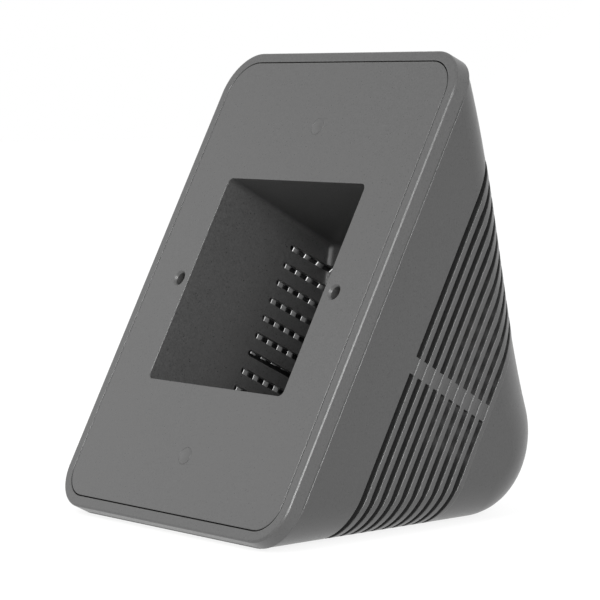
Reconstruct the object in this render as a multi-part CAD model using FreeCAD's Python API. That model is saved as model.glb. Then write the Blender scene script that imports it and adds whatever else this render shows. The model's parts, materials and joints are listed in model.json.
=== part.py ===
import FreeCAD, Part
import math
import os

os.makedirs("parts", exist_ok=True)
Vector = FreeCAD.Vector

# Desktop housing of a smart home wall panel: a leaning front with a pocket,
# carried by a tapered wedge-shaped shell with louvred sides.
# World axes: +X right, +Y to the rear, +Z up, z = 0 under the rubber feet.
# Shapes are drawn with y = 0 at the front's lower edge, then moved to the
# centre of the whole housing when they are saved.
# Front frame axes: u across, v up the leaning front, d depth behind its face.

# ---- driving dimensions (mm, degrees) ----
LEAN = 27.0               # front face leans back from the vertical
FOOT_PROUD = 0.5          # rubber feet stand below the base
FRONT_RISE = 2.35         # lower edge of the front face above the table
ORIGIN_Y = 46.078         # centre of the overall depth behind the front's lower edge

FRONT_W = 87.7            # front face width
FRONT_H = 119.4           # front face height, measured along the face
FRONT_R = 9.6             # lower corner radius of the front
FRONT_TOP_R = 11.0        # upper corner radius of the front
REAR_TOP_R = 8.6          # upper corner radius where the frame meets the shell
FRAME_D = 3.9             # depth of the front frame
FRAME_DRAFT = 0.45        # frame narrows by this on each side over its depth
FRAME_EDGE = 0.5          # rounding of the frame's front edge
RIM = 2.55                # visible rim around the inset plate
SEAM = 0.32               # gap between rim and plate
PLATE_T = 2.4             # inset plate thickness
WINDOW_W = 61.0           # opening in the frame behind the plate
WINDOW_H = 95.0
MID_V = FRONT_H / 2
SCREW_V = 59.3            # height of the two panel screws

POCKET_W = 52.5           # pocket opening
POCKET_H = 52.2
POCKET_R = 1.6            # pocket corner radius
POCKET_WALL = 1.6
POCKET_TOP_D = 34.8       # pocket depth at its top edge
POCKET_TOP_DRAFT = 0.03   # top wall drops by this per mm of depth
POCKET_BACK_TILT = 18.3   # back wall angle to the front face
ROWS = 9                  # ventilation slots on each pocket wall
ROW_TOP = 78.9            # height v of the uppermost slot
ROW_PITCH = 4.67
ROW_H = 1.5
ROW_START = 24.0          # depth at which the slots begin
ROW_WRAP = 8.0            # how far the slots run round onto the back wall

SCREW_SPAN = 60.0         # panel screw spacing of a round wall box
PLUG_SPAN = 83.3          # panel screw spacing of an upright wall box
PLUG_MID_V = 58.2
PLUG_R = 2.05
PLUG_DOME = 0.12          # plugs stand up by this in the middle
PANEL_BORE_R = 1.5        # panel screw bores, through the plate and the inserts

SIDE_TAPER = 0.177        # shell half width lost per mm of depth
SHELL_HALF = 43.55        # shell half width where it meets the frame, a hair proud of it
SHELL_T = 2.0             # shell wall
BACK_TILT = 20.9          # back face leans forward from the vertical
BASE_LEN = 98.95          # base line from the front edge to the back plane
REAR_R = 20.2             # rear lower corner of the side profile
TOP_R = 10.2              # rear upper corner of the side profile
SPARE = 8.0               # extra front length while the edges are rounded
EDGE_BASE_R = 11.2        # side edges along the base
EDGE_BACK_LOW_R = 16.4    # side edges along the back, lower end
EDGE_BACK_HIGH_R = 10.7   # side edges along the back, upper end
EDGE_TOP_R = 10.8         # side edges along the top, rear end
EDGE_TOP_FRONT_R = 8.8    # side edges along the top, front end

SLOTS = 10                # louvre slots in each shell side
SLOT_FIRST = 20.46        # depth of the first slot's centre line
SLOT_PITCH = 3.05
SLOT_W = 1.5
SLAT_PROUD = 0.2          # front edge of each slat stands out by this
SLAT_REAR = 0.04          # and its rear edge by this
SLAT_REACH = 7.0          # how far a slat stays proud round the rear edge
BAND_LOW = 49.2           # solid band across the slots
BAND_HIGH = 53.2

FOOT_R = 4.0
FOOT_T = 1.5
FOOT_SPOTS = ((-27.0, 11.0), (27.0, 11.0), (-17.5, 65.8), (17.5, 65.8))

HATCH_X = 19.0            # base cover half width
HATCH_Y0 = 20.0
HATCH_Y1 = 60.0
HATCH_SCREWS = ((-16.3, 23.2), (16.3, 23.2), (-16.3, 56.8), (16.3, 56.8))
HATCH_GAP = 0.25
LEDGE_TOP = 6.2
BALLAST_SCREWS = ((-8.0, 66.5), (8.0, 66.5))

POST_U = 34.0             # fixing posts between front frame and shell
POST_V = (16.0, 98.5)
POST_END = 10.2
LUG_T = 3.2
POST_R = 3.5
INSERT_R = 2.1

INLET_Z = 29.0            # two-pin power inlet on the back face
INLET_W = 18.0
INLET_H = 10.5
INLET_DEEP = 13.0
INLET_PIN_SPAN = 8.6

POLE_PITCH = 7.2          # lever terminal in the pocket
TERM_W = 15.4
TERM_T = 8.5
TERM_L = 18.0
TERM_UP = 5.0             # above the pocket's lower rear corner
HINGE_Y = -6.2
HINGE_Z = 3.2
LEVER_W = 5.2
RECESS_W = 5.8
LEAD_R = 1.0              # insulated leads behind the terminal

TH = math.radians(LEAN)
BE = math.radians(BACK_TILT)
TILT = math.tan(math.radians(POCKET_BACK_TILT))


# ---- small helpers ----
def on_front(shape):
    """Turn a shape drawn upright (u = x, d = y, v = z) onto the leaning front."""
    moved = shape.copy()
    moved.rotate(Vector(0, 0, 0), Vector(1, 0, 0), -LEAN)
    moved.translate(Vector(0, 0, FRONT_RISE))
    return moved


def front_point(u, d, v):
    """World position of a point given in the front frame axes."""
    y = d * math.cos(TH) + v * math.sin(TH)
    z = FRONT_RISE + v * math.cos(TH) - d * math.sin(TH)
    return Vector(u, y, z)


def rounded_wire(half_u, v0, v1, radius, depth, top_radius=None):
    """Rounded rectangle in an upright plane at the given depth."""
    r = radius
    t = radius if top_radius is None else top_radius
    k = r * (1 - math.sqrt(0.5))
    m = t * (1 - math.sqrt(0.5))
    p = lambda u, v: Vector(u, depth, v)
    edges = [
        Part.makeLine(p(-half_u + r, v0), p(half_u - r, v0)),
        Part.Arc(p(half_u - r, v0), p(half_u - k, v0 + k), p(half_u, v0 + r)).toShape(),
        Part.makeLine(p(half_u, v0 + r), p(half_u, v1 - t)),
        Part.Arc(p(half_u, v1 - t), p(half_u - m, v1 - m), p(half_u - t, v1)).toShape(),
        Part.makeLine(p(half_u - t, v1), p(-half_u + t, v1)),
        Part.Arc(p(-half_u + t, v1), p(-half_u + m, v1 - m), p(-half_u, v1 - t)).toShape(),
        Part.makeLine(p(-half_u, v1 - t), p(-half_u, v0 + r)),
        Part.Arc(p(-half_u, v0 + r), p(-half_u + k, v0 + k), p(-half_u + r, v0)).toShape(),
    ]
    return Part.Wire(edges)


def rounded_slab(half_u, v0, v1, radius, d0, d1, top_radius=None):
    """Rounded rectangular plate between two depths."""
    face = Part.Face(rounded_wire(half_u, v0, v1, radius, d0, top_radius))
    return face.extrude(Vector(0, d1 - d0, 0))


def box(x0, x1, y0, y1, z0, z1):
    return Part.makeBox(x1 - x0, y1 - y0, z1 - z0, Vector(x0, y0, z0))


def rod(radius, start, end):
    axis = end - start
    return Part.makeCylinder(radius, axis.Length, start, axis)


def frustum(r0, r1, start, end):
    axis = end - start
    return Part.makeCone(r0, r1, axis.Length, start, axis)


def joined(shapes):
    whole = shapes[0]
    if len(shapes) > 1:
        whole = whole.fuse(shapes[1:])
    return whole.removeSplitter()


def pan_screw(head, tip, head_r, head_h, shank_r):
    """Pan-head screw with a cross recess; head is where the head seats."""
    axis = (tip - head).normalize()
    top = head - axis * head_h
    body = joined([rod(head_r, top, head), rod(shank_r, head, tip)])
    side = axis.cross(Vector(1, 0, 0))
    if side.Length < 0.1:
        side = axis.cross(Vector(0, 1, 0))
    side.normalize()
    other = axis.cross(side)
    for a, b in ((side, other), (other, side)):
        corners = [top - a * head_r * 0.6 - b * 0.25, top + a * head_r * 0.6 - b * 0.25,
                   top + a * head_r * 0.6 + b * 0.25, top - a * head_r * 0.6 + b * 0.25]
        slit = Part.Face(Part.makePolygon(corners + [corners[0]]))
        body = body.cut(slit.extrude(axis * head_h * 0.6))
    return body


def export(name, shape):
    """Save one node, with the origin below the middle of the housing."""
    placed = shape.copy()
    placed.translate(Vector(0, -ORIGIN_Y, 0))
    placed.exportStep("parts/" + name + ".step")


# ---- side profile and tapered wedge ----
def meet(first, second):
    """Crossing of two lines a*y + b*z = c."""
    a, b, c = first
    d, e, f = second
    det = a * e - b * d
    return Vector(0, (c * e - b * f) / det, (a * f - c * d) / det)


def profile_lines(inset, front_depth):
    base = (0.0, 1.0, FOOT_PROUD + inset)
    back_c = BASE_LEN * math.cos(BE) + FOOT_PROUD * math.sin(BE) - inset
    back = (math.cos(BE), math.sin(BE), back_c)
    front = (math.cos(TH), -math.sin(TH), front_depth - FRONT_RISE * math.sin(TH))
    a = math.sin(TH) + SIDE_TAPER * math.cos(TH)
    b = math.cos(TH) - SIDE_TAPER * math.sin(TH)
    slope = math.sqrt(1 + SIDE_TAPER ** 2)
    top_c = FRONT_H - 0.4 + SIDE_TAPER * FRAME_D - inset * slope + FRONT_RISE * b
    return base, back, (a, b, top_c), front


def soft_corner(before, corner, after, radius):
    """Start, middle and end of the arc that rounds one profile corner."""
    to_before = (before - corner).normalize()
    to_after = (after - corner).normalize()
    half = to_before.getAngle(to_after) / 2
    reach = radius / math.tan(half)
    inward = (to_before + to_after).normalize()
    centre = corner + inward * (radius / math.sin(half))
    return corner + to_before * reach, centre - inward * radius, corner + to_after * reach


def side_half(depth):
    return SHELL_HALF - SIDE_TAPER * (depth - FRAME_D)


def sharp_wedge(inset, front_depth, near, taper):
    """Wedge with flat tapered sides; near is the half width at the frame."""
    base, back, top, front = profile_lines(inset, front_depth)
    low_front = meet(front, base)
    low_rear = meet(base, back)
    high_rear = meet(back, top)
    high_front = meet(top, front)
    r0, r1, r2 = soft_corner(low_front, low_rear, high_rear, REAR_R - inset)
    t0, t1, t2 = soft_corner(low_rear, high_rear, high_front, TOP_R - inset)
    outline = Part.Wire([
        Part.makeLine(low_front, r0), Part.Arc(r0, r1, r2).toShape(),
        Part.makeLine(r2, t0), Part.Arc(t0, t1, t2).toShape(),
        Part.makeLine(t2, high_front), Part.makeLine(high_front, low_front)])
    face = Part.Face(outline)
    face.translate(Vector(-60, 0, 0))
    prism = face.extrude(Vector(120, 0, 0))
    half = lambda d: near - taper * (d - FRAME_D)
    corners = [Vector(-half(-30), -30, -60), Vector(half(-30), -30, -60),
               Vector(half(150), 150, -60), Vector(-half(150), 150, -60)]
    flanks = Part.Face(Part.makePolygon(corners + [corners[0]])).extrude(Vector(0, 0, 260))
    return prism.common(on_front(flanks))


def depth_of(point):
    return point.y * math.cos(TH) - (point.z - FRONT_RISE) * math.sin(TH)


def soften(wedge, inset, front_depth):
    """Round the side edges: base radius, then back radius, then top radius."""
    base_r = EDGE_BASE_R - inset
    low_r = EDGE_BACK_LOW_R - inset
    high_r = EDGE_BACK_HIGH_R - inset
    top_r = EDGE_TOP_R - inset
    front_r = EDGE_TOP_FRONT_R - inset
    chain = []
    for index, edge in enumerate(wedge.Edges):
        first = edge.valueAt(edge.FirstParameter)
        last = edge.valueAt(edge.LastParameter)
        if first.x * last.x < 0 or abs(first.x) < 5:
            continue
        if depth_of(first) < front_depth + 0.05 and depth_of(last) < front_depth + 0.05:
            continue
        middle = edge.valueAt((edge.FirstParameter + edge.LastParameter) / 2)
        if edge.Curve.TypeId == "Part::GeomLine":
            if abs(first.z - last.z) < 0.001:
                radii = (base_r, base_r)
            elif middle.z > 90:
                radii = (front_r, top_r) if depth_of(first) < depth_of(last) else (top_r, front_r)
            else:
                radii = (low_r, high_r) if first.z < last.z else (high_r, low_r)
        elif middle.z < 50:
            radii = (base_r, low_r) if first.z < last.z else (low_r, base_r)
        else:
            radii = (high_r, top_r) if first.y > last.y else (top_r, high_r)
        chain.append((index + 1, radii[0], radii[1]))
    source = DOC.addObject("Part::Feature", "Sharp")
    source.Shape = wedge
    rounded = DOC.addObject("Part::Fillet", "Rounded")
    rounded.Base = source
    rounded.Edges = chain
    DOC.recompute()
    return rounded.Shape.copy()


def wedge_body(inset, front_depth):
    """Rounded wedge, drawn too long at the front and trimmed back."""
    near = SHELL_HALF - inset * math.sqrt(1 + SIDE_TAPER ** 2)
    start = front_depth - SPARE
    whole = soften(sharp_wedge(inset, start, near, SIDE_TAPER), inset, start)
    return whole.cut(on_front(box(-90, 90, start - 30, front_depth, -60, 200)))


def raised_slats(body):
    """Slats on both sides: proud at their front edge, nearly level at their rear edge."""
    width = SLOT_PITCH - SLOT_W
    groups = []
    for side in (-1, 1):
        prisms = []
        for i in range(SLOTS):
            near = SLOT_FIRST + i * SLOT_PITCH + SLOT_W / 2
            far = near + width
            inner = side * (side_half(far) - SLAT_REACH)
            corners = [Vector(inner, near, -60),
                       Vector(side * (side_half(near) + SLAT_PROUD), near, -60),
                       Vector(side * (side_half(far) + SLAT_REAR), far, -60),
                       Vector(inner, far, -60)]
            face = Part.Face(Part.makePolygon(corners + [corners[0]]))
            prisms.append(on_front(face.extrude(Vector(0, 0, 260))))
        shifted = body.copy()
        shifted.translate(Vector(side * SLAT_PROUD, 0, 0))
        groups.append(shifted.common(Part.makeCompound(prisms)))
    return groups


# ---- front frame ----
def front_frame():
    front = rounded_wire(FRONT_W / 2, 0, FRONT_H, FRONT_R, 0, FRONT_TOP_R)
    rear = rounded_wire(FRONT_W / 2 - FRAME_DRAFT, 0, FRONT_H - 0.4, FRONT_R, FRAME_D, REAR_TOP_R)
    ring = Part.makeLoft([front, rear], True, True)
    edges = [e for e in ring.Edges if e.BoundBox.YMax < 0.001]
    ring = ring.makeFillet(FRAME_EDGE, edges)
    ring = ring.cut(rounded_slab(FRONT_W / 2 - RIM, RIM, FRONT_H - RIM, FRONT_R - RIM, -1, PLATE_T,
                                 FRONT_TOP_R - RIM))
    v0 = MID_V - WINDOW_H / 2
    ring = ring.cut(rounded_slab(WINDOW_W / 2, v0, v0 + WINDOW_H, 4.0, 0, FRAME_D + 1))
    lip_half = 40.1
    lip = rounded_slab(lip_half, 4.6, 115.0, 11.0, FRAME_D - 0.5, FRAME_D + 2.6)
    lip = lip.cut(rounded_slab(lip_half - 1.5, 6.1, 113.5, 9.5, FRAME_D - 1, FRAME_D + 3))
    adds = [lip]
    bores = []
    for side in (-1, 1):
        for v in POST_V:
            u = side * POST_U
            adds.append(rod(POST_R, Vector(u, FRAME_D - 0.5, v), Vector(u, POST_END, v)))
            bores.append(rod(INSERT_R, Vector(u, POST_END - 5.8, v), Vector(u, POST_END + 1, v)))
        # room for the panel screw bosses
        bores.append(rod(4.0, Vector(side * SCREW_SPAN / 2, PLATE_T, SCREW_V),
                         Vector(side * SCREW_SPAN / 2, FRAME_D + 1, SCREW_V)))
        for v in (30.0, 89.0):
            bores.append(rod(1.2, Vector(side * 35.2, PLATE_T - 0.1, v),
                             Vector(side * 35.2, FRAME_D + 1, v)))
    return on_front(joined([ring] + adds).cut(bores))


# ---- inset plate with its pocket ----
def pocket_prism(wall, start):
    """Pocket space (wall = 0) or its outer body, grown by one wall."""
    low = MID_V - POCKET_H / 2 - wall
    high = MID_V + POCKET_H / 2 + wall
    grow = wall * math.sqrt(1 + TILT ** 2)
    back = lambda v: POCKET_TOP_D + TILT * (MID_V + POCKET_H / 2 - v) + grow
    # crossing of the drafted top wall with the back wall
    top_d = (back(high)) / (1 - TILT * POCKET_TOP_DRAFT)
    top_v = high - POCKET_TOP_DRAFT * top_d
    half = POCKET_W / 2 + wall
    p = lambda d, v: Vector(-half, d, v)
    outline = [
        p(start, low),
        p(start, high - POCKET_TOP_DRAFT * start),
        p(top_d, top_v),
        p(back(low), low),
    ]
    solid = Part.Face(Part.makePolygon(outline + [outline[0]])).extrude(Vector(2 * half, 0, 0))
    edges = [e for e in solid.Edges if e.BoundBox.YMax > start + 0.01]
    return solid.makeFillet(POCKET_R + wall * 0.6, edges)


def front_plate():
    inset = RIM + SEAM
    plate = rounded_slab(FRONT_W / 2 - inset, inset, FRONT_H - inset, FRONT_R - inset, 0, PLATE_T,
                         FRONT_TOP_R - inset)
    adds = [pocket_prism(POCKET_WALL, 0.6)]
    cuts = [pocket_prism(0.0, -1.0)]
    for side in (-1, 1):
        u = side * SCREW_SPAN / 2
        adds.append(rod(3.6, Vector(u, 0.5, SCREW_V), Vector(u, 10.0, SCREW_V)))
        cuts.append(rod(PANEL_BORE_R, Vector(u, -1, SCREW_V), Vector(u, 3.0, SCREW_V)))
        cuts.append(frustum(PANEL_BORE_R + 0.5, PANEL_BORE_R, Vector(u, -0.01, SCREW_V),
                            Vector(u, 0.5, SCREW_V)))
        cuts.append(rod(INSERT_R + 0.2, Vector(u, 3.0, SCREW_V), Vector(u, 11.0, SCREW_V)))
        for v in (30.0, 89.0):
            cuts.append(rod(0.9, Vector(side * 35.2, 0.9, v), Vector(side * 35.2, PLATE_T + 1, v)))
        # side slots that run on round the rear corner
        for row in range(ROWS):
            v = ROW_TOP - row * ROW_PITCH
            inner = POCKET_W / 2 - ROW_WRAP
            outer = POCKET_W / 2 + POCKET_WALL + 1
            x0, x1 = sorted((side * inner, side * outer))
            d0 = ROW_START + ROW_H / 2
            slot = box(x0, x1, d0, 70, v - ROW_H / 2, v + ROW_H / 2)
            near = side * (POCKET_W / 2 - 3)
            start = rod(ROW_H / 2, Vector(near, d0, v), Vector(side * outer, d0, v))
            cuts.append(slot)
            cuts.append(start)
    for end in (-1, 1):
        v = PLUG_MID_V + end * PLUG_SPAN / 2
        cuts.append(rod(PLUG_R + 0.03, Vector(0, -1, v), Vector(0, PLATE_T + 1, v)))
    whole = joined([plate] + adds).cut(cuts)
    # two lead holes and one fixing hole behind the lever terminal
    holes = []
    for side in (-1, 1):
        x = side * POLE_PITCH / 2
        holes.append(rod(1.5, Vector(x, -2, 6.0), Vector(x, 4, 6.0)))
    holes.append(rod(1.3, Vector(0, -2, 9.5), Vector(0, 4, 9.5)))
    return on_front(whole).cut([at_terminal(h) for h in holes])


def hole_plugs():
    """Flush plugs with a faintly domed face."""
    plugs = []
    ball_r = (PLUG_R ** 2 + PLUG_DOME ** 2) / (2 * PLUG_DOME)
    for end in (-1, 1):
        v = PLUG_MID_V + end * PLUG_SPAN / 2
        disc = rod(PLUG_R, Vector(0, -1.0, v), Vector(0, PLATE_T, v))
        disc = disc.common(Part.makeSphere(ball_r, Vector(0, ball_r - PLUG_DOME, v)))
        flange = rod(PLUG_R + 1.2, Vector(0, PLATE_T, v), Vector(0, PLATE_T + 0.8, v))
        plugs.append(joined([disc, flange]))
    return on_front(Part.makeCompound(plugs))


def threaded_insert(radius, bore, start, end):
    """Knurled brass insert with a relief groove and a through bore."""
    whole = rod(radius, start, end)
    axis = (end - start).normalize()
    middle = (start + end) * 0.5
    groove = rod(radius + 1, middle - axis * 0.5, middle + axis * 0.5)
    groove = groove.cut(rod(radius - 0.3, start, end))
    return whole.cut(groove).cut(rod(bore, start - axis, end + axis))


def panel_inserts():
    parts = []
    for side in (-1, 1):
        u = side * SCREW_SPAN / 2
        parts.append(threaded_insert(INSERT_R + 0.2, PANEL_BORE_R, Vector(u, 3.0, SCREW_V),
                                     Vector(u, 9.5, SCREW_V)))
    return on_front(Part.makeCompound(parts))


def post_inserts():
    parts = []
    for side in (-1, 1):
        for v in POST_V:
            u = side * POST_U
            parts.append(threaded_insert(INSERT_R, 1.25, Vector(u, POST_END - 5.5, v),
                                         Vector(u, POST_END, v)))
    return on_front(Part.makeCompound(parts))


def frame_screws():
    parts = []
    seat = POST_END + LUG_T
    for side in (-1, 1):
        for v in POST_V:
            u = side * POST_U
            parts.append(pan_screw(Vector(u, seat, v), Vector(u, seat - 8.0, v), 2.7, 1.9, 1.25))
    return on_front(Part.makeCompound(parts))


def plate_screws():
    parts = []
    for side in (-1, 1):
        for v in (30.0, 89.0):
            u = side * 35.2
            parts.append(pan_screw(Vector(u, FRAME_D, v), Vector(u, 1.0, v), 2.1, 1.3, 0.9))
    return on_front(Part.makeCompound(parts))


# ---- louvred shell ----
def inlet_frame(shape):
    """Place a shape drawn about the inlet axis (-y inward) on the back face."""
    y = BASE_LEN - (INLET_Z - FOOT_PROUD) * math.tan(BE)
    moved = shape.copy()
    moved.rotate(Vector(0, 0, 0), Vector(1, 0, 0), BACK_TILT)
    moved.translate(Vector(0, y, INLET_Z))
    return moved


def side_slots():
    cutters = []
    for side in (-1, 1):
        for i in range(SLOTS):
            d = SLOT_FIRST + i * SLOT_PITCH
            inner = side_half(d) - EDGE_BASE_R
            x0, x1 = sorted((side * inner, side * 60))
            lower = box(x0, x1, d - SLOT_W / 2, d + SLOT_W / 2, -40, BAND_LOW)
            upper = box(x0, x1, d - SLOT_W / 2, d + SLOT_W / 2, BAND_HIGH, 140)
            cutters.append(on_front(lower))
            cutters.append(on_front(upper))
    return cutters


def main_shell():
    outer = wedge_body(0.0, FRAME_D)
    outer = outer.fuse(raised_slats(outer))
    shell = outer.cut(wedge_body(SHELL_T, FRAME_D - 3))
    inside = wedge_body(1.0, FRAME_D)
    lugs = []
    cuts = side_slots()
    for side in (-1, 1):
        for v in POST_V:
            u = side * POST_U
            x0, x1 = sorted((side * 29.5, side * 50))
            lug = on_front(box(x0, x1, POST_END, POST_END + LUG_T, v - 4.2, v + 4.2))
            lugs.append(lug.common(inside))
            cuts.append(on_front(rod(1.6, Vector(u, POST_END - 1, v), Vector(u, POST_END + 8, v))))
    ledge_low = FOOT_PROUD + SHELL_T - 0.2
    ledge = box(-HATCH_X - 2, HATCH_X + 2, HATCH_Y0 - 2, HATCH_Y1 + 2, ledge_low, LEDGE_TOP)
    lugs.append(ledge)
    shell = shell.fuse(lugs)
    floor = FOOT_PROUD + SHELL_T
    cuts.append(box(-HATCH_X, HATCH_X, HATCH_Y0, HATCH_Y1, -1, floor))
    cuts.append(box(-HATCH_X + 6, HATCH_X - 6, HATCH_Y0 + 6, HATCH_Y1 - 6, -1, LEDGE_TOP + 1))
    for x, y in HATCH_SCREWS:
        cuts.append(rod(0.95, Vector(x, y, floor - 1), Vector(x, y, LEDGE_TOP - 0.4)))
    for x, y in FOOT_SPOTS:
        cuts.append(rod(FOOT_R + 0.1, Vector(x, y, -1), Vector(x, y, FOOT_T)))
    for x, y in BALLAST_SCREWS:
        cuts.append(rod(1.6, Vector(x, y, -1), Vector(x, y, floor + 1)))
        cuts.append(rod(2.9, Vector(x, y, -1), Vector(x, y, FOOT_PROUD + 1.0)))
    throat = rounded_slab(INLET_W / 2 + 0.15, -INLET_H / 2 - 0.15, INLET_H / 2 + 0.15, 4.9, -8, 5)
    cuts.append(inlet_frame(throat))
    for x in (-12.3, 12.3):
        cuts.append(inlet_frame(rod(0.9, Vector(x, -5, 0), Vector(x, 3, 0))))
    return shell.cut(cuts)


# ---- base parts ----
def base_cover():
    gap = HATCH_GAP
    floor = FOOT_PROUD + SHELL_T
    cover = box(-HATCH_X + gap, HATCH_X - gap, HATCH_Y0 + gap, HATCH_Y1 - gap, FOOT_PROUD, floor)
    edges = [e for e in cover.Edges if e.BoundBox.ZLength > SHELL_T - 0.1]
    cover = cover.makeFillet(1.5, edges)
    cuts = []
    for x, y in HATCH_SCREWS:
        cuts.append(rod(1.3, Vector(x, y, 0), Vector(x, y, floor + 1)))
        cuts.append(rod(2.4, Vector(x, y, 0), Vector(x, y, FOOT_PROUD + 1.1)))
    for i in range(7):
        y = 30.0 + i * 3.4
        cuts.append(box(-8, 8, y - 0.7, y + 0.7, 0, floor + 1))
    return cover.cut(cuts)


def base_screws():
    parts = []
    for x, y in HATCH_SCREWS:
        parts.append(pan_screw(Vector(x, y, FOOT_PROUD + 1.1), Vector(x, y, 5.6), 2.1, 1.0, 0.95))
    return Part.makeCompound(parts)


def rubber_feet():
    parts = []
    for x, y in FOOT_SPOTS:
        foot = rod(FOOT_R, Vector(x, y, 0), Vector(x, y, FOOT_T))
        low = [e for e in foot.Edges if e.BoundBox.ZMax < 0.01]
        parts.append(foot.makeFillet(0.3, low))
    return Part.makeCompound(parts)


def ballast():
    block = box(-19, 19, 64.4, 90, FOOT_PROUD + SHELL_T, 12.0)
    block = block.common(wedge_body(SHELL_T + 0.05, FRAME_D))
    for x, y in BALLAST_SCREWS:
        block = block.cut(rod(1.25, Vector(x, y, 0), Vector(x, y, 9.0)))
    return block


def ballast_screws():
    parts = []
    for x, y in BALLAST_SCREWS:
        head = Vector(x, y, FOOT_PROUD + 1.0)
        parts.append(pan_screw(head, Vector(x, y, 8.5), 2.6, 0.9, 1.25))
    return Part.makeCompound(parts)


# ---- power inlet ----
def inlet_housing():
    flange = rounded_slab(15.0, -7.2, 7.2, 5.0, 0.0, 1.6)
    rear = [e for e in flange.Edges if e.BoundBox.YMin > 1.59]
    flange = flange.makeFillet(0.5, rear)
    barrel = rounded_slab(INLET_W / 2, -INLET_H / 2, INLET_H / 2, 4.8, -INLET_DEEP, 0.5)
    body = joined([flange, barrel])
    cuts = []
    for side in (-1, 1):
        x = side * INLET_PIN_SPAN / 2
        cuts.append(rod(3.6, Vector(x, -INLET_DEEP + 3, 0), Vector(x, 3, 0)))
        cuts.append(rod(1.2, Vector(x, -INLET_DEEP - 1, 0), Vector(x, -INLET_DEEP + 4, 0)))
        cuts.append(rod(1.3, Vector(side * 12.3, -1, 0), Vector(side * 12.3, 3, 0)))
    waist = box(-INLET_PIN_SPAN / 2, INLET_PIN_SPAN / 2, -INLET_DEEP + 3, 3, -3.1, 3.1)
    return inlet_frame(body.cut(cuts + [waist]))


def inlet_pins():
    pins = []
    for side in (-1, 1):
        x = side * INLET_PIN_SPAN / 2
        pin = rod(1.2, Vector(x, -INLET_DEEP - 2.5, 0), Vector(x, -1.5, 0))
        tip = [e for e in pin.Edges if e.BoundBox.YMin > -1.51]
        pins.append(pin.makeFillet(0.5, tip))
    return inlet_frame(Part.makeCompound(pins))


def inlet_screws():
    parts = []
    for x in (-12.3, 12.3):
        parts.append(pan_screw(Vector(x, 1.6, 0), Vector(x, -3.6, 0), 2.0, 1.2, 0.9))
    return inlet_frame(Part.makeCompound(parts))


# ---- lever terminal on the pocket's back wall ----
def terminal_origin():
    low = MID_V - POCKET_H / 2
    return front_point(0, POCKET_TOP_D + TILT * POCKET_H, low)


def at_terminal(shape):
    """Place a shape drawn upright against the pocket's back wall (y = 0)."""
    origin = terminal_origin()
    moved = shape.copy()
    moved.translate(Vector(0, 0, TERM_UP))
    moved.rotate(Vector(0, 0, 0), Vector(1, 0, 0), -(LEAN - POCKET_BACK_TILT))
    moved.translate(origin)
    return moved


def terminal_body():
    body = box(-TERM_W / 2, TERM_W / 2, -TERM_T, 0, 0, TERM_L)
    edges = [e for e in body.Edges if e.BoundBox.ZLength > TERM_L - 1 and e.BoundBox.YMax < -1]
    body = body.makeFillet(0.6, edges)
    cuts = []
    for side in (-1, 1):
        x = side * POLE_PITCH / 2
        half = RECESS_W / 2
        cuts.append(box(x - half, x + half, -TERM_T - 1, -6.2, -1, 16.9))
        cuts.append(rod(2.2, Vector(x - half, HINGE_Y, HINGE_Z), Vector(x + half, HINGE_Y, HINGE_Z)))
        cuts.append(rod(0.86, Vector(x - half - 0.6, HINGE_Y, HINGE_Z),
                        Vector(x + half + 0.6, HINGE_Y, HINGE_Z)))
        cuts.append(rod(1.5, Vector(x, -3.4, 6.5), Vector(x, -3.4, TERM_L + 1)))
        cuts.append(frustum(1.5, 2.3, Vector(x, -3.4, TERM_L - 1.2), Vector(x, -3.4, TERM_L + 0.02)))
        cuts.append(rod(1.2, Vector(x, -3.4, 6.0), Vector(x, 1, 6.0)))
        cuts.append(box(x - 1.9, x + 1.9, -1.6, -1.0, 7.6, 15.5))
    cuts.append(rod(1.1, Vector(0, -4, 9.5), Vector(0, 1, 9.5)))
    return at_terminal(body.cut(cuts))


def terminal_contacts():
    strips = []
    for side in (-1, 1):
        x = side * POLE_PITCH / 2
        strips.append(box(x - 1.8, x + 1.8, -1.6, -1.0, 7.6, 15.4))
    return at_terminal(Part.makeCompound(strips))


def terminal_lever(side):
    x = side * POLE_PITCH / 2
    half = LEVER_W / 2
    hub = rod(1.85, Vector(x - half, HINGE_Y, HINGE_Z), Vector(x + half, HINGE_Y, HINGE_Z))
    arm = box(x - half, x + half, -8.4, -6.5, HINGE_Z, 16.4)
    tip = [e for e in arm.Edges if e.BoundBox.ZMin > 16.3 and e.BoundBox.XLength > 3]
    arm = arm.makeFillet(0.7, tip)
    pin = rod(0.8, Vector(x - half - 0.8, HINGE_Y, HINGE_Z), Vector(x + half + 0.8, HINGE_Y, HINGE_Z))
    whole = joined([hub, arm, pin])
    ribs = []
    for i in range(3):
        low = 12.0 + 1.1 * i
        ribs.append(box(x - half - 1, x + half + 1, -8.5, -8.15, low, low + 0.5))
    return at_terminal(whole.cut(ribs))


def terminal_screw():
    head = Vector(0, POCKET_WALL + 0.15, 9.5)
    return at_terminal(pan_screw(head, Vector(0, -3.5, 9.5), 2.1, 1.2, 1.1))


def rounded_path(points, radii):
    """Straight runs joined by tangent arcs at the inner points."""
    edges = []
    start = points[0]
    for i in range(1, len(points) - 1):
        first, middle, last = soft_corner(points[i - 1], points[i], points[i + 1], radii[i - 1])
        edges.append(Part.makeLine(start, first))
        edges.append(Part.Arc(first, middle, last).toShape())
        start = last
    edges.append(Part.makeLine(start, points[-1]))
    return Part.Wire(edges)


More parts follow.
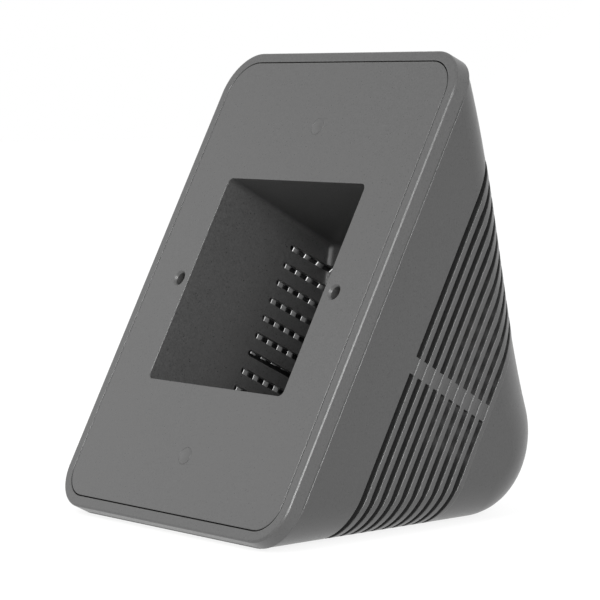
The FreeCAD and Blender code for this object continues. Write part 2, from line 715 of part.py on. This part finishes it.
def supply_leads():
    """Two short insulated leads from the inlet pins to the terminal."""
    leads = []
    for side in (-1, 1):
        pole = side * POLE_PITCH / 2
        pin = side * INLET_PIN_SPAN / 2
        ends = [at_terminal(Part.Vertex(pole, y, 6.0)).Point for y in (-2.9, 4.0)]
        rear = [inlet_frame(Part.Vertex(pin, -INLET_DEEP - y, 0)).Point for y in (6.2, 3.0)]
        path = rounded_path(ends + rear, (5.0, 6.0))
        ring = Part.makeCircle(LEAD_R, ends[0], (ends[1] - ends[0]).normalize())
        leads.append(path.makePipeShell([Part.Wire([ring])], True, True))
    return Part.makeCompound(leads)


DOC = FreeCAD.newDocument("housing")
export("front_frame", front_frame())
export("front_plate", front_plate())
export("hole_plugs", hole_plugs())
export("panel_inserts", panel_inserts())
export("post_inserts", post_inserts())
export("frame_screws", frame_screws())
export("plate_screws", plate_screws())
export("main_shell", main_shell())
export("base_cover", base_cover())
export("base_screws", base_screws())
export("rubber_feet", rubber_feet())
export("ballast_block", ballast())
export("ballast_screws", ballast_screws())
export("inlet_housing", inlet_housing())
export("inlet_pins", inlet_pins())
export("inlet_screws", inlet_screws())
export("terminal_body", terminal_body())
export("terminal_contacts", terminal_contacts())
export("terminal_lever_left", terminal_lever(-1))
export("terminal_lever_right", terminal_lever(1))
export("terminal_screw", terminal_screw())
export("supply_leads", supply_leads())
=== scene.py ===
import json
import math

import bpy
from mathutils import Matrix, Vector


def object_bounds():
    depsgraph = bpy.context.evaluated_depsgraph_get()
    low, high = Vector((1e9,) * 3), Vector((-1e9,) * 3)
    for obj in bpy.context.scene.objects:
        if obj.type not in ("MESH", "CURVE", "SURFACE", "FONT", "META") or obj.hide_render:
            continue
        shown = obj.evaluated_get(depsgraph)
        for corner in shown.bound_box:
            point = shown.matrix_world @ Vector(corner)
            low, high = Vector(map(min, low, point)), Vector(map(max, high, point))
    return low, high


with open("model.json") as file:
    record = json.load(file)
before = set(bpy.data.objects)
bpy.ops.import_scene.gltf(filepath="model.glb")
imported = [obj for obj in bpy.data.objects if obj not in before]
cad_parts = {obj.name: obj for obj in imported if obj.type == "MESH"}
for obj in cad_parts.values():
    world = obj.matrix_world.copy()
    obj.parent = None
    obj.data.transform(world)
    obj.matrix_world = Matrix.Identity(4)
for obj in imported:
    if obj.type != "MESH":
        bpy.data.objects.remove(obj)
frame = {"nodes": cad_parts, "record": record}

CAD_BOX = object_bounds()

# ---- colours, all linear ----
WHITE = (1.0, 1.0, 1.0, 1.0)
# the housing is one plastic: the front mouldings' lighter grey is painted light on the
# lamp-facing front, the shell's darker grey painted shade on its sides
SHELL_SHADED_GREY = 0.024
FRONT_LIT_GREY = 0.0385
INLET_GREY = 0.018
TERMINAL_GREY = 0.34
LEVER_GREY = 0.03
LEAD_GREY = 0.02
RUBBER_GREY = 0.016
DUST_GREY = 0.045
IRON_GREY = 0.05
RUST = (0.07, 0.055, 0.045, 1.0)
BRASS = (0.62, 0.44, 0.18)
STEEL = (0.55, 0.55, 0.56)
NICKEL = (0.66, 0.64, 0.6)
COPPER = (0.7, 0.36, 0.22)

# ---- moulded plastic: lengths in metres, shades as multiples of its grey ----
GRAIN = 0.0004             # speckle of the housing and the terminal
FINE_GRAIN = 0.0003        # speckle of the smaller mouldings
GRAIN_DEPTH = 0.08         # depth of the texture, in grains
DARK_SPECK = 0.74
LIGHT_SPECK = 1.3
DRIFT_SHADE = 1.06         # tone that the surface drifts towards
EDGE_WEAR_AND_HIGHLIGHT_SHADE = 2.8           # edges lightened by rubbing and by a painted highlight
LEAST_EDGE_LIGHTENING = 0.6           # share of the edge lightening, wear and painted highlight, where an edge is rubbed least
PLASTIC_SPREAD = 0.06      # how far the roughness varies either way
HOUSING_ROUGH = 0.33
HOUSING_SPECULAR = 0.65

# ---- metal: lengths in metres, shades as multiples of its colour ----
MARK = 0.0006              # size of the fine marks
MARK_DEPTH = 0.1           # depth of a mark, in marks
DULL_SHADE = 0.6           # dull patches
BRIGHT_SHADE = 1.25        # polished edges
METAL_EDGE = 0.0001        # radius that the shading gives an edge

# ---- noise and softened edges ----
NOISE_BAND = (0.3, 0.7)    # where nearly all of a noise's values lie
BEVEL_SAMPLES = 6
EDGE_MASK_STARTS = 0.995        # cosine of the angle from a face's normal to the softened one
EDGE_MASK_IS_FULL = 0.82


# ---- node helpers ----
def new_material(name):
    """Empty material with a Principled shader; returns it, its tree and the shader."""
    mat = bpy.data.materials.new(name)
    mat.use_nodes = True
    tree = mat.node_tree
    tree.nodes.clear()
    out = tree.nodes.new("ShaderNodeOutputMaterial")
    shader = tree.nodes.new("ShaderNodeBsdfPrincipled")
    tree.links.new(shader.outputs["BSDF"], out.inputs["Surface"])
    return mat, tree, shader


def object_coords(tree):
    """Coordinates fixed to the piece, in metres."""
    return tree.nodes.new("ShaderNodeTexCoord").outputs["Object"]


def noise(tree, coords, size, detail, rough):
    """Noise whose features are about size metres across."""
    node = tree.nodes.new("ShaderNodeTexNoise")
    node.inputs["Scale"].default_value = 1.0 / size
    node.inputs["Detail"].default_value = detail
    node.inputs["Roughness"].default_value = rough
    tree.links.new(coords, node.inputs["Vector"])
    return node.outputs["Fac"]


def remap(tree, value, source, target):
    """Value moved from the range source to the range target, and held within it."""
    node = tree.nodes.new("ShaderNodeMapRange")
    node.inputs["From Min"].default_value, node.inputs["From Max"].default_value = source
    node.inputs["To Min"].default_value, node.inputs["To Max"].default_value = target
    tree.links.new(value, node.inputs["Value"])
    return node.outputs["Result"]


def blend_colour(tree, factor, first, second):
    """Mix of two colours; each is a tuple or a socket."""
    node = tree.nodes.new("ShaderNodeMix")
    node.data_type = "RGBA"
    # a Mix node has these sockets for colours, beside others for numbers and vectors
    factor_in, first_in, second_in = node.inputs[0], node.inputs[6], node.inputs[7]
    tree.links.new(factor, factor_in)
    for socket, value in ((first_in, first), (second_in, second)):
        if isinstance(value, tuple):
            socket.default_value = value
        else:
            tree.links.new(value, socket)
    return node.outputs[2]


def multiply(tree, first, second):
    """Product of two sockets."""
    node = tree.nodes.new("ShaderNodeMath")
    node.operation = "MULTIPLY"
    tree.links.new(first, node.inputs[0])
    tree.links.new(second, node.inputs[1])
    return node.outputs[0]


def grey(value, warm=0.0):
    """Grey colour; warm gives it more red and less blue."""
    return (value * (1 + warm), value, value * (1 - warm), 1.0)


def shaded(colour, shade):
    """Colour made lighter or darker by shade, and no brighter than white."""
    return tuple(min(1.0, channel * shade) for channel in colour) + (1.0,)


def soft_edges(tree, radius):
    """Normal with every sharp edge rounded, and a mask of where those edges are."""
    bevel = tree.nodes.new("ShaderNodeBevel")
    bevel.samples = BEVEL_SAMPLES
    bevel.inputs["Radius"].default_value = radius
    geometry = tree.nodes.new("ShaderNodeNewGeometry")
    dot = tree.nodes.new("ShaderNodeVectorMath")
    dot.operation = "DOT_PRODUCT"
    tree.links.new(bevel.outputs["Normal"], dot.inputs[0])
    tree.links.new(geometry.outputs["Normal"], dot.inputs[1])
    mask = remap(tree, dot.outputs["Value"], (EDGE_MASK_STARTS, EDGE_MASK_IS_FULL), (0.0, 1.0))
    return bevel.outputs["Normal"], mask


def bump(tree, height, strength, depth, normal=None):
    """Normal roughened by height: depth is in metres, and strength blends it in."""
    node = tree.nodes.new("ShaderNodeBump")
    node.inputs["Strength"].default_value = strength
    node.inputs["Distance"].default_value = depth
    tree.links.new(height, node.inputs["Height"])
    if normal is not None:
        tree.links.new(normal, node.inputs["Normal"])
    return node.outputs["Normal"]


# ---- materials ----
def moulded_plastic(name, level, rough, edge_wear_and_highlight, edge, grain=GRAIN, specular=0.45):
    """Spark-textured moulding: speckle, slow tone drift, and edges lightened as wear and as a
    painted highlight.

    level is its grey, edge_wear_and_highlight says how far the edges are lightened, as
    rubbing and as a painted highlight, from 0 to 1, and edge is the radius in metres that the
    shading gives a sharp edge.
    """
    mat, tree, shader = new_material(name)
    coords = object_coords(tree)
    speckle = noise(tree, coords, size=grain, detail=3.0, rough=0.6)
    drift = noise(tree, coords, size=0.03, detail=2.0, rough=0.5)
    edge_patches = noise(tree, coords, size=0.004, detail=4.0, rough=0.65)
    normal, edges = soft_edges(tree, edge)
    specks = remap(tree, speckle, (0.32, 0.68), (0.0, 1.0))
    base = blend_colour(tree, specks, grey(level * DARK_SPECK), grey(level * LIGHT_SPECK))
    drifting = remap(tree, drift, (0.35, 0.65), (0.0, 0.35))
    drifted = blend_colour(tree, drifting, base, grey(level * DRIFT_SHADE, warm=0.01))
    edge_lightening = remap(tree, edge_patches, (0.35, 0.7), (LEAST_EDGE_LIGHTENING * edge_wear_and_highlight, edge_wear_and_highlight))
    worn_and_highlit = multiply(tree, edges, edge_lightening)
    # every sharp edge lightened, partly as rubbed wear and partly as a painted highlight
    colour = blend_colour(tree, worn_and_highlit, drifted, grey(level * EDGE_WEAR_AND_HIGHLIGHT_SHADE))
    tree.links.new(colour, shader.inputs["Base Color"])
    gloss = remap(tree, speckle, NOISE_BAND, (rough - PLASTIC_SPREAD, rough + PLASTIC_SPREAD))
    tree.links.new(gloss, shader.inputs["Roughness"])
    shader.inputs["Specular IOR Level"].default_value = specular
    texture = bump(tree, speckle, strength=0.35, depth=grain * GRAIN_DEPTH, normal=normal)
    tree.links.new(texture, shader.inputs["Normal"])
    return mat


def metal(name, colour, rough):
    """Plated or polished metal: fine marks, dull patches and bright edges."""
    mat, tree, shader = new_material(name)
    coords = object_coords(tree)
    fine = noise(tree, coords, size=MARK, detail=3.0, rough=0.6)
    patch = noise(tree, coords, size=0.003, detail=3.0, rough=0.6)
    normal, edges = soft_edges(tree, METAL_EDGE)
    patches = remap(tree, patch, (0.4, 0.7), (0.0, 0.7))
    base = blend_colour(tree, patches, colour + (1.0,), shaded(colour, DULL_SHADE))
    polished = blend_colour(tree, edges, base, shaded(colour, BRIGHT_SHADE))
    tree.links.new(polished, shader.inputs["Base Color"])
    shader.inputs["Metallic"].default_value = 1.0
    gloss = remap(tree, fine, NOISE_BAND, (rough - 0.08, rough + 0.1))
    tree.links.new(gloss, shader.inputs["Roughness"])
    texture = bump(tree, fine, strength=0.25, depth=MARK * MARK_DEPTH, normal=normal)
    tree.links.new(texture, shader.inputs["Normal"])
    return mat


def rubber(name):
    """Matt rubber with a little dust on it."""
    mat, tree, shader = new_material(name)
    coords = object_coords(tree)
    fine = noise(tree, coords, size=0.0004, detail=4.0, rough=0.65)
    dust = noise(tree, coords, size=0.002, detail=3.0, rough=0.6)
    dusty = remap(tree, dust, (0.45, 0.75), (0.0, 0.5))
    base = blend_colour(tree, dusty, grey(RUBBER_GREY), grey(DUST_GREY, warm=0.03))
    tree.links.new(base, shader.inputs["Base Color"])
    tree.links.new(remap(tree, fine, NOISE_BAND, (0.72, 0.9)), shader.inputs["Roughness"])
    shader.inputs["Specular IOR Level"].default_value = 0.35
    tree.links.new(bump(tree, fine, strength=0.5, depth=0.00005), shader.inputs["Normal"])
    return mat


def cast_iron(name):
    """Rough grey casting with brown stains and pits."""
    mat, tree, shader = new_material(name)
    coords = object_coords(tree)
    pits = noise(tree, coords, size=0.0009, detail=5.0, rough=0.7)
    stain = noise(tree, coords, size=0.006, detail=3.0, rough=0.6)
    stained = remap(tree, stain, (0.4, 0.7), (0.0, 1.0))
    base = blend_colour(tree, stained, grey(IRON_GREY), RUST)
    tree.links.new(base, shader.inputs["Base Color"])
    shader.inputs["Metallic"].default_value = 0.8
    tree.links.new(remap(tree, pits, NOISE_BAND, (0.5, 0.8)), shader.inputs["Roughness"])
    tree.links.new(bump(tree, pits, strength=0.8, depth=0.0002), shader.inputs["Normal"])
    return mat


def housing_plastic(name, level, edge_wear_and_highlight, edge):
    """The satin plastic of the large outer mouldings."""
    return moulded_plastic(name, level, HOUSING_ROUGH, edge_wear_and_highlight, edge, specular=HOUSING_SPECULAR)


LOOKS = {
    # the front's lighter grey is painted light, the shell's darker grey painted shade
    "front_grey": housing_plastic("front_plastic", FRONT_LIT_GREY, edge_wear_and_highlight=0.3, edge=0.00035),
    "shell_grey": housing_plastic("shell_plastic", SHELL_SHADED_GREY, edge_wear_and_highlight=1.0, edge=0.0004),
    "brass": metal("insert_brass", BRASS, rough=0.34),
    "screw_steel": metal("plated_steel", STEEL, rough=0.3),
    "foot_rubber": rubber("foot_rubber"),
    "ballast_iron": cast_iron("ballast_iron"),
    "inlet_black": moulded_plastic(
        "inlet_plastic", INLET_GREY, rough=0.42, edge_wear_and_highlight=0.4, edge=0.00015, grain=FINE_GRAIN),
    "pin_nickel": metal("pin_nickel", NICKEL, rough=0.18),
    "terminal_light": moulded_plastic(
        "terminal_plastic", TERMINAL_GREY, rough=0.36, edge_wear_and_highlight=0.2, edge=0.00012),
    "contact_copper": metal("contact_copper", COPPER, rough=0.28),
    "lever_dark": moulded_plastic(
        "lever_plastic", LEVER_GREY, rough=0.35, edge_wear_and_highlight=0.4, edge=0.00012, grain=FINE_GRAIN),
    "lead_sleeve": moulded_plastic(
        "lead_plastic", LEAD_GREY, rough=0.4, edge_wear_and_highlight=0.1, edge=0.0001, grain=FINE_GRAIN),
}

look_of = {part["node"]: LOOKS[part["material_slot"]] for part in frame["record"]["subparts"]}
for node_name, node in frame["nodes"].items():
    for material_slot in node.material_slots:
        material_slot.material = look_of[node_name]

# ---- stage: lengths in metres ----
FLOOR_HALF_WIDTH = 4.0
FLOOR_FRONT = -3.0
FLOOR_BACK = 3.0           # where the sweep upwards starts
SWEEP_RADIUS = 1.2
SWEEP_STEPS = 16
WALL_TOP = 4.0
FLOOR_GREY = 0.18
FLOOR_GLOW = 0.84          # brings the lit floor up to white


def curved_floor():
    """Pale floor that sweeps up behind the object in one curve."""
    profile = [(FLOOR_FRONT, 0.0), (FLOOR_BACK, 0.0)]
    for i in range(1, SWEEP_STEPS + 1):
        turn = math.pi / 2 * i / SWEEP_STEPS
        along = FLOOR_BACK + SWEEP_RADIUS * math.sin(turn)
        profile.append((along, SWEEP_RADIUS * (1 - math.cos(turn))))
    profile.append((FLOOR_BACK + SWEEP_RADIUS, WALL_TOP))
    verts = []
    for along, height in profile:
        verts.append((-FLOOR_HALF_WIDTH, along, height))
        verts.append((FLOOR_HALF_WIDTH, along, height))
    faces = [(2 * i, 2 * i + 1, 2 * i + 3, 2 * i + 2) for i in range(len(profile) - 1)]
    mesh = bpy.data.meshes.new("floor")
    mesh.from_pydata(verts, [], faces)
    mesh.update()
    for face in mesh.polygons:
        face.use_smooth = True
    surface = bpy.data.objects.new("floor", mesh)
    bpy.context.collection.objects.link(surface)
    return surface


def floor_material():
    """Matt, and glowing so that the object leaves only a faint shadow on it."""
    mat, tree, shader = new_material("pale_floor")
    shader.inputs["Base Color"].default_value = grey(FLOOR_GREY)
    shader.inputs["Roughness"].default_value = 0.95
    shader.inputs["Specular IOR Level"].default_value = 0.0
    shader.inputs["Emission Color"].default_value = WHITE
    shader.inputs["Emission Strength"].default_value = FLOOR_GLOW
    return mat


floor = curved_floor()
floor.data.materials.append(floor_material())

# ---- light ----
LAMP_TARGET = Vector((0.0, 0.0, 0.055))    # about the middle of the housing

world = bpy.data.worlds.new("studio")
world.use_nodes = True
background = world.node_tree.nodes["Background"]
background.inputs["Color"].default_value = WHITE
background.inputs["Strength"].default_value = 1.0
bpy.context.scene.world = world


def softbox(name, direction, distance, side, power):
    """Square lamp that looks at the housing from direction."""
    lamp = bpy.data.lights.new(name, "AREA")
    lamp.shape = "RECTANGLE"
    lamp.size = side
    lamp.size_y = side
    lamp.energy = power
    place = LAMP_TARGET + Vector(direction).normalized() * distance
    back = (place - LAMP_TARGET).normalized()
    aim = back.to_track_quat("Z", "Y").to_matrix().to_4x4()
    holder = bpy.data.objects.new(name, lamp)
    holder.matrix_world = Matrix.Translation(place) @ aim
    bpy.context.collection.objects.link(holder)


softbox("key_light", (0.36, -0.78, 0.52), distance=1.1, side=0.5, power=7.2)
softbox("right_light", (0.88, -0.42, 0.22), distance=1.2, side=0.5, power=15.0)
softbox("left_light", (-0.85, -0.45, 0.25), distance=1.2, side=0.6, power=0.5)

# ---- camera: at the photograph's angle ----
# it stands this far from the floor under the middle of the housing's foremost edge
CAMERA_OFFSET = Vector((0.537905, -0.367238, 0.100481))
CAMERA_AT = Vector((0.0, CAD_BOX[0][1], 0.0)) + CAMERA_OFFSET
# the camera's own axes
CAMERA_RIGHT = Vector((0.60361, 0.79728, 0.0))
CAMERA_UP = Vector((-0.05825, 0.04410, 0.99733))
CAMERA_BACK = Vector((0.79515, -0.60200, 0.07306))
FOCAL_LENGTH = 174.5       # millimetres, as is the sensor
SENSOR_WIDTH = 36.0
CLIP_NEAR = 0.01
CLIP_FAR = 50.0

optics = bpy.data.cameras.new("camera")
optics.sensor_width = SENSOR_WIDTH
optics.lens = FOCAL_LENGTH
optics.clip_start = CLIP_NEAR
optics.clip_end = CLIP_FAR
camera = bpy.data.objects.new("camera", optics)
# through a quaternion, which squares up the rounded axes
axes = Matrix((CAMERA_RIGHT, CAMERA_UP, CAMERA_BACK)).transposed()
rotation = axes.to_quaternion().to_matrix().to_4x4()
camera.matrix_world = Matrix.Translation(CAMERA_AT) @ rotation
bpy.context.collection.objects.link(camera)
bpy.context.scene.camera = camera
bpy.context.scene.view_settings.view_transform = "Standard"
